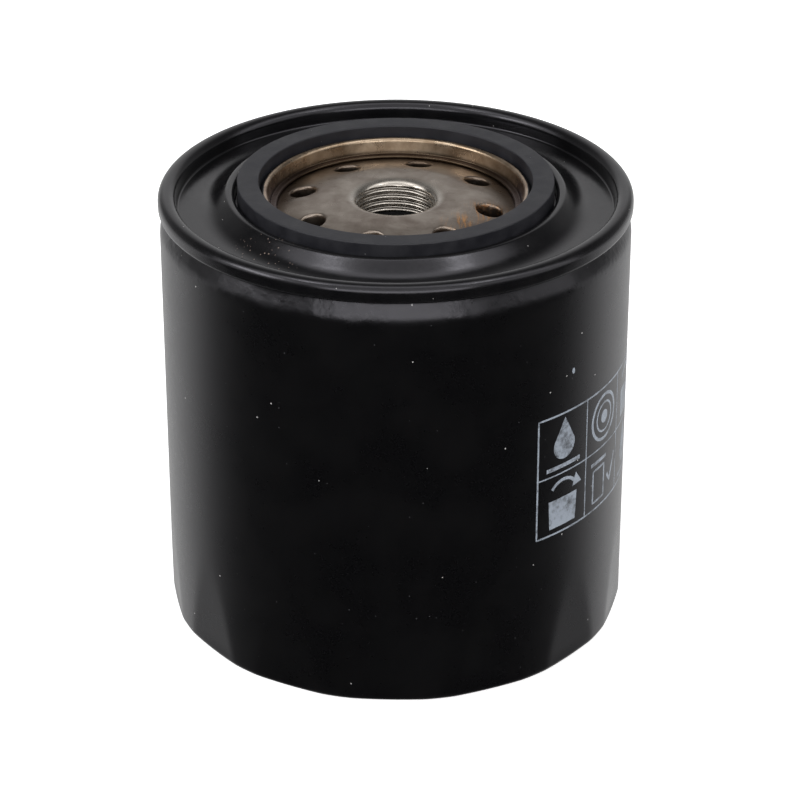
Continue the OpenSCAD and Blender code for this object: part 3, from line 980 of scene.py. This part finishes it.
def make_print():
    """Generic pictogram panel in two rows on the can's right side, and a fleck above it."""
    parts = []
    right = PANEL_LEFT + PANEL_CELLS * PANEL_CELL
    middle = (PANEL_LOW + PANEL_HIGH) / 2
    corners = [
        (PANEL_LEFT, PANEL_LOW),
        (right, PANEL_LOW),
        (right, PANEL_HIGH),
        (PANEL_LEFT, PANEL_HIGH),
    ]
    parts.append(ink_line(corners, 0.45, True))
    parts.append(ink_line([(PANEL_LEFT, middle), (right, middle)], 0.35))
    fleck_x = math.radians(47) * CAN_R
    fleck = [(fleck_x + 0.45 * x, 76 + 0.75 * z) for x, z in circle(0, 0, 1, step=30)]
    parts.append(ink_shape(fleck))
    icons = (drop_icon, ring_icon, turn_icon, check_icon)
    for i in range(PANEL_CELLS):
        x = PANEL_LEFT + (i + 0.5) * PANEL_CELL
        if i:
            edge = PANEL_LEFT + i * PANEL_CELL
            parts.append(ink_line([(edge, PANEL_LOW), (edge, PANEL_HIGH)], 0.35))
        parts += icons[i](x, (middle + PANEL_HIGH) / 2)
        parts += icons[(i + 2) % PANEL_CELLS](x, (middle + PANEL_LOW) / 2)
    points, faces = [], []
    for part_points, part_faces in parts:
        first = sum(len(p) for p in points)
        points.append(part_points)
        faces += [tuple(first + v for v in face) for face in part_faces]
    return make_mesh("printed_panel", np.vstack(points), faces)


# ---------------------------------------------------------------- stage


def make_stage():
    """Pale floor, a little below the base so that the two faces don't meet."""
    floor_paint = Finish("floor_paint", Roughness=0.8, IOR=1.4, Emission_Color=(1, 1, 1, 1),
                         Emission_Strength=0.75)
    tone = floor_paint.mix(floor_paint.noise(60, 3), (0.90, 0.90, 0.90), (0.93, 0.93, 0.93))
    floor_paint.wire(Base_Color=tone)
    rings, sides = 6, 96
    around = np.arange(sides) * TAU / sides
    points = [[0, 0, FLOOR_Z]]
    for k in range(1, rings + 1):
        r = FLOOR_R * k / rings
        points += [[r * math.cos(a), r * math.sin(a), FLOOR_Z] for a in around]
    faces = [(0, 1 + j, 1 + (j + 1) % sides) for j in range(sides)]
    faces += grid_faces(rings, sides, first=1)
    floor = make_mesh("floor", points, faces)
    floor.data.materials.append(floor_paint.material)
    floor.visible_glossy = False


def area_light(name, place, width, height, power):
    """Soft box at a place, aimed at the filter's head."""
    light = bpy.data.lights.new(name, "AREA")
    light.shape = "RECTANGLE"
    light.size = width * MM
    light.size_y = height * MM
    light.energy = power
    lamp = bpy.data.objects.new(name, light)
    lamp.location = Vector(place) * MM
    aim = (Vector((0, 0, 100)) - Vector(place)) * MM
    lamp.rotation_euler = aim.to_track_quat("-Z", "Y").to_euler()
    bpy.context.scene.collection.objects.link(lamp)


# Brightness by direction: degrees from the horizon behind the filter, up and over to the camera.
WORLD_SHADES = (
    (-180, 0.03), (-143, 0.04), (-102, 0.08), (-90, 0.13), (-66, 0.36), (-56, 0.56), (-45, 0.80),
    (-37, 0.90), (-27, 0.82), (0, 0.74), (22, 0.78), (32, 0.64), (50, 0.26), (76, 0.14), (87, 1.9),
    (97, 1.9), (106, 0.85), (118, 0.85), (128, 1.3), (140, 0.7), (150, 0.2), (180, 0.03),
)
WORLD_STRENGTH = 2.0
WORLD_DARK = (0.03, 0.03, 0.03, 1)


class Sky:
    """The world's node tree. Each method adds one node and returns its output socket."""

    def __init__(self):
        world = bpy.data.worlds.new("studio")
        bpy.context.scene.world = world
        world.use_nodes = True
        self.tree = world.node_tree
        self.background = self.tree.nodes["Background"]

    def node(self, kind, *inputs, **settings):
        """A node with its first sockets linked."""
        made = self.tree.nodes.new(kind)
        for key, value in settings.items():
            setattr(made, key, value)
        for index, value in enumerate(inputs):
            self.tree.links.new(value, made.inputs[index])
        return made

    def calc(self, operation, *values):
        return self.node("ShaderNodeMath", *values, operation=operation).outputs["Value"]

    def map_range(self, value, low, high, to_low, to_high, kind="SMOOTHSTEP"):
        made = self.node("ShaderNodeMapRange", value, interpolation_type=kind)
        made.inputs["From Min"].default_value = low
        made.inputs["From Max"].default_value = high
        made.inputs["To Min"].default_value = to_low
        made.inputs["To Max"].default_value = to_high
        return made.outputs["Result"]

    def ramp(self, value):
        """Grey ramp through the world's shades, over a whole turn."""
        made = self.node("ShaderNodeValToRGB", value)
        stops = made.color_ramp.elements
        for degrees, shade in WORLD_SHADES:
            position = degrees / 360 + 0.5
            if position == 0:
                stop = stops[0]
            elif position == 1:
                stop = stops[len(stops) - 1]
            else:
                stop = stops.new(position)
            level = shade / WORLD_STRENGTH
            stop.color = (level, level, level, 1)
        return made.outputs["Color"]


def make_world():
    """Studio light by direction, darker over the horizon at both sides behind the filter."""
    sky = Sky()
    place = sky.node("ShaderNodeTexCoord").outputs["Generated"]
    split = sky.node("ShaderNodeSeparateXYZ", place).outputs
    swing = sky.calc("ARCTAN2", split["Z"], split["Y"])
    shade = sky.ramp(sky.map_range(swing, -math.pi, math.pi, 0, 1, "LINEAR"))
    aside = sky.map_range(sky.calc("ABSOLUTE", split["X"]), 0.2, 0.6, 0.0, 0.75)
    above = sky.map_range(split["Z"], -0.12, 0.12, 0.0, 1.0)
    behind = sky.map_range(split["Y"], -0.1, 0.3, 0.0, 1.0)
    share = sky.calc("MULTIPLY", sky.calc("MULTIPLY", aside, above), behind)
    darken = sky.node("ShaderNodeMix", data_type="RGBA")
    darken.inputs[7].default_value = WORLD_DARK
    link = sky.tree.links.new
    link(share, darken.inputs[0])
    link(shade, darken.inputs[6])
    link(darken.outputs[2], sky.background.inputs["Color"])
    sky.background.inputs["Strength"].default_value = WORLD_STRENGTH


def make_camera():
    camera = bpy.data.cameras.new("camera")
    camera.sensor_width = 36
    camera.lens = 139.8
    holder = bpy.data.objects.new("camera", camera)
    place = Vector((0.97, -647.8, 385.8)) * MM
    target = Vector((0.97, 0, 49.7)) * MM
    holder.location = place
    holder.rotation_euler = (target - place).to_track_quat("-Z", "Y").to_euler()
    bpy.context.scene.collection.objects.link(holder)
    bpy.context.scene.camera = holder


# ---------------------------------------------------------------- assembly


def dress(piece, material, nodes=()):
    """Gives a piece of the housing its material, hangs it on the housing's body and hides the CAD nodes
    that it stands for.
    """
    piece.data.materials.clear()
    piece.data.materials.append(material)
    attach(piece, "housing")
    if nodes:
        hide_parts(*nodes)
    return piece


def repaint(node, material):
    """Gives a carried-over CAD node its finished material."""
    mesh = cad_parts[node].data
    mesh.materials.clear()
    mesh.materials.append(material)


make_stage()
make_world()
make_camera()
area_light("front_box", (0, -731, 435), 1000, 300, 2.7)
area_light("left_box", (-330, -160, 800), 130, 130, 0.30)
area_light("right_box", (330, -160, 800), 130, 130, 0.26)
area_light("left_side_box", (-640, -200, 540), 300, 220, 1.0)
bpy.context.scene.view_settings.view_transform = "Standard"

steel_caps = stamped_steel("cap_steel", (0.40, 0.39, 0.36), (0.62, 0.61, 0.57))
steel_tube = stamped_steel("tube_steel", (0.42, 0.42, 0.41), (0.60, 0.60, 0.58), blob=6)
steel_valve = stamped_steel("valve_steel", (0.50, 0.46, 0.34), (0.72, 0.67, 0.52),
                            low=0.22, high=0.38, blob=4)
valve_rubber = rubber("valve_rubber", (0.012, 0.012, 0.013), (0.022, 0.022, 0.023))
wire_finish = spring_wire()
potting_glue = cured_glue("potting_glue", (0.52, 0.40, 0.22), (0.66, 0.54, 0.33))

gasket_rubber = rubber("gasket_rubber", (0.010, 0.010, 0.014), (0.019, 0.019, 0.024),
                       grain_depth=0.03)

dress(make_can(), black_paint(), nodes=["can"])
dress(make_print(), printed_ink())
dress(make_lid(), lid_finish(), nodes=["seaming_lid"])
dress(make_gasket(), gasket_rubber, nodes=["gasket"])
dress(make_plate(), plate_steel(), nodes=["thread_plate"])
dress(make_media(), filter_paper(), nodes=["pleated_media"])

element_low, element_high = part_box("element_spring")
element_coil = make_coil("element_coil", turns=3.5, wire=2.4, r_low=35, r_high=25,
                         low=element_low.z / MM, high=element_high.z / MM, dead=0.6)
dress(element_coil, wire_finish, nodes=["element_spring"])

bypass_low, bypass_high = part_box("bypass_spring")
bypass_coil = make_coil("bypass_coil", turns=6.5, wire=1.1, r_low=7, r_high=7,
                        low=bypass_low.z / MM, high=bypass_high.z / MM, dead=0.4)
dress(bypass_coil, wire_finish, nodes=["bypass_spring"])
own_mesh(bypass_coil)

dress(make_drain_collar(), valve_rubber, nodes=["anti_drain_collar"])
flap = make_drain_flap()
flap.data.materials.append(valve_rubber)
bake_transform(flap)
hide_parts("anti_drain_flap")

repaint("seam_sealant", cured_glue("seam_glue", (0.42, 0.36, 0.22), (0.56, 0.50, 0.34)))
for node in ("top_potting", "bottom_potting"):
    repaint(node, potting_glue)
for node in ("top_end_cap", "bottom_end_cap"):
    repaint(node, steel_caps)
for node in ("centre_tube", "media_clip"):
    repaint(node, steel_tube)
for node in ("bypass_seat", "bypass_disc", "bypass_stem", "bypass_cage"):
    repaint(node, steel_valve)
repaint("bypass_seal", valve_rubber)
